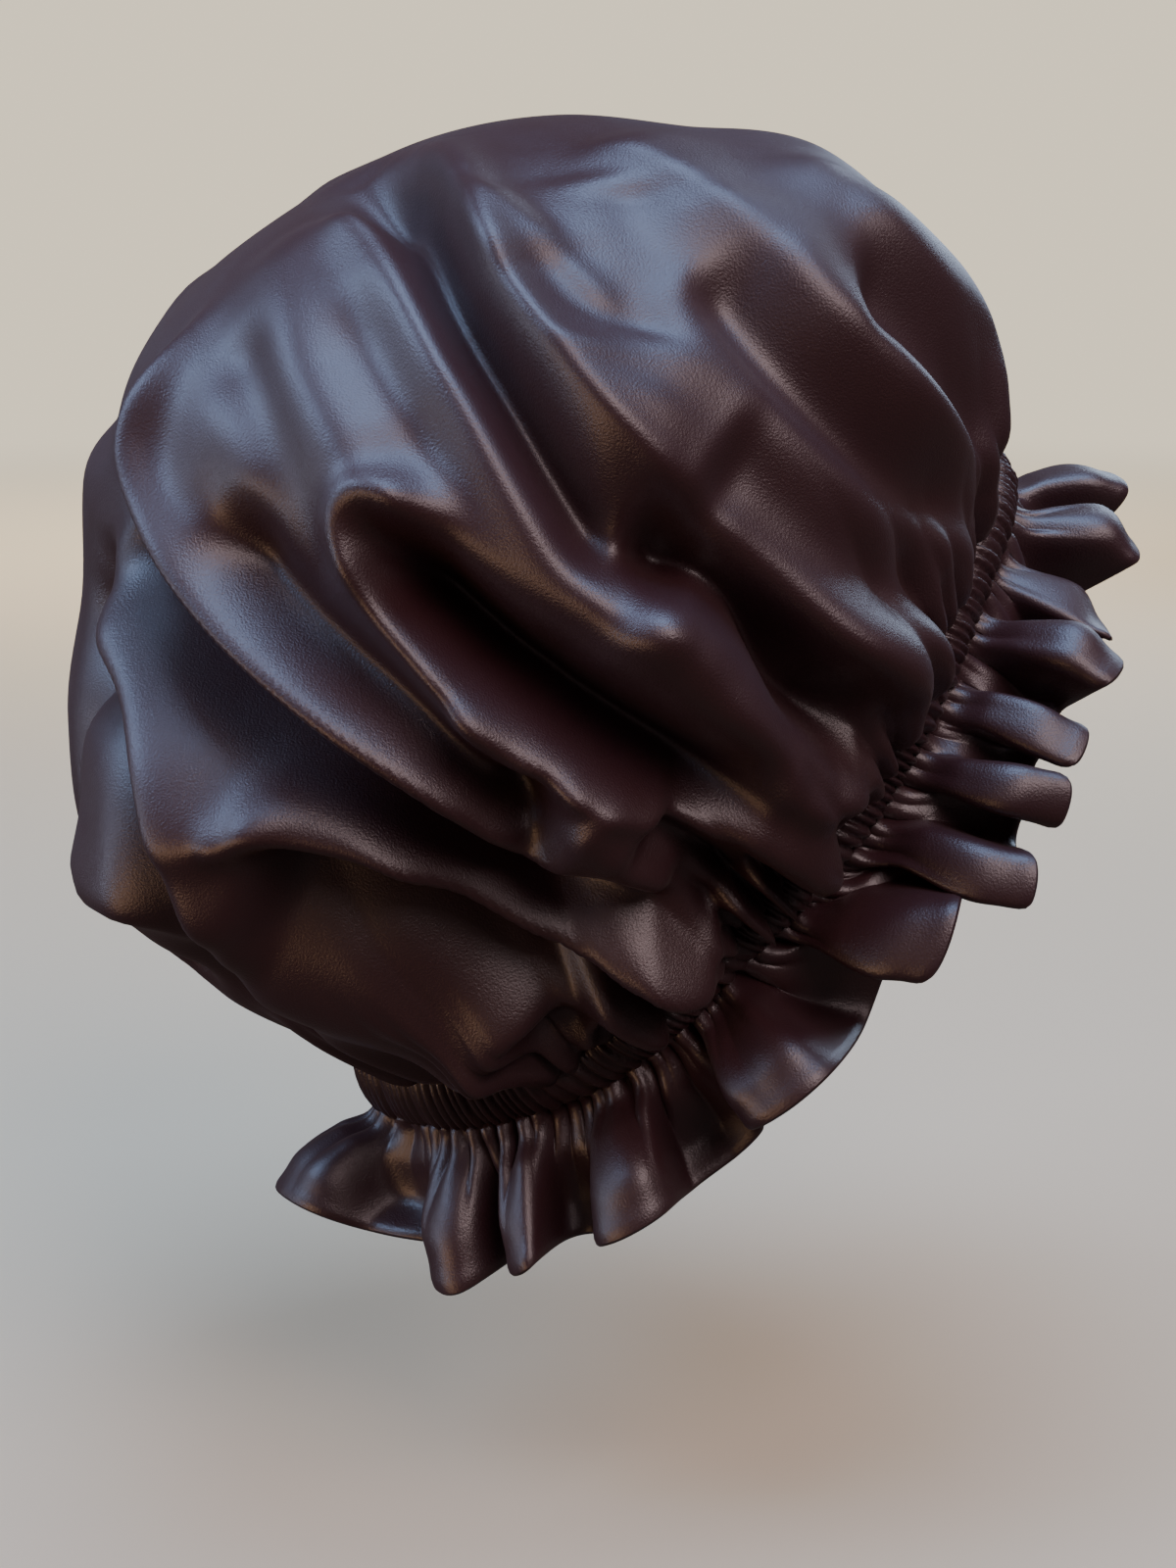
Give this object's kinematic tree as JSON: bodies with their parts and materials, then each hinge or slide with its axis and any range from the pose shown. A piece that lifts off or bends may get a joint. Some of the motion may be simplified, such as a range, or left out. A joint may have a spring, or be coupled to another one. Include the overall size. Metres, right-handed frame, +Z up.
{
  "type": "sleep bonnet",
  "caption": "Oversized gathered satin sleep bonnet with an elastic casing round its opening and a wavy doubled ruffle edge, in its worn shape.",
  "frame": {"origin": "centre of the elastic opening, on its slanted plane", "axes": "+Z up as worn, -Y towards the wearer's face, +X towards the wearer's left"},
  "size_m": [0.2285, 0.284, 0.29],
  "materials": {
    "satin_body": "black satin with a soft cool sheen and brownish mid-tones",
    "satin_casing": "black satin, tightly gathered over elastic",
    "satin_ruffle": "black satin, doubled and turned at the hem"
  },
  "bodies": {
    "root": {"crown": "satin_body", "elastic_casing": "satin_casing", "ruffle": "satin_ruffle"}
  },
  "joints": []
}
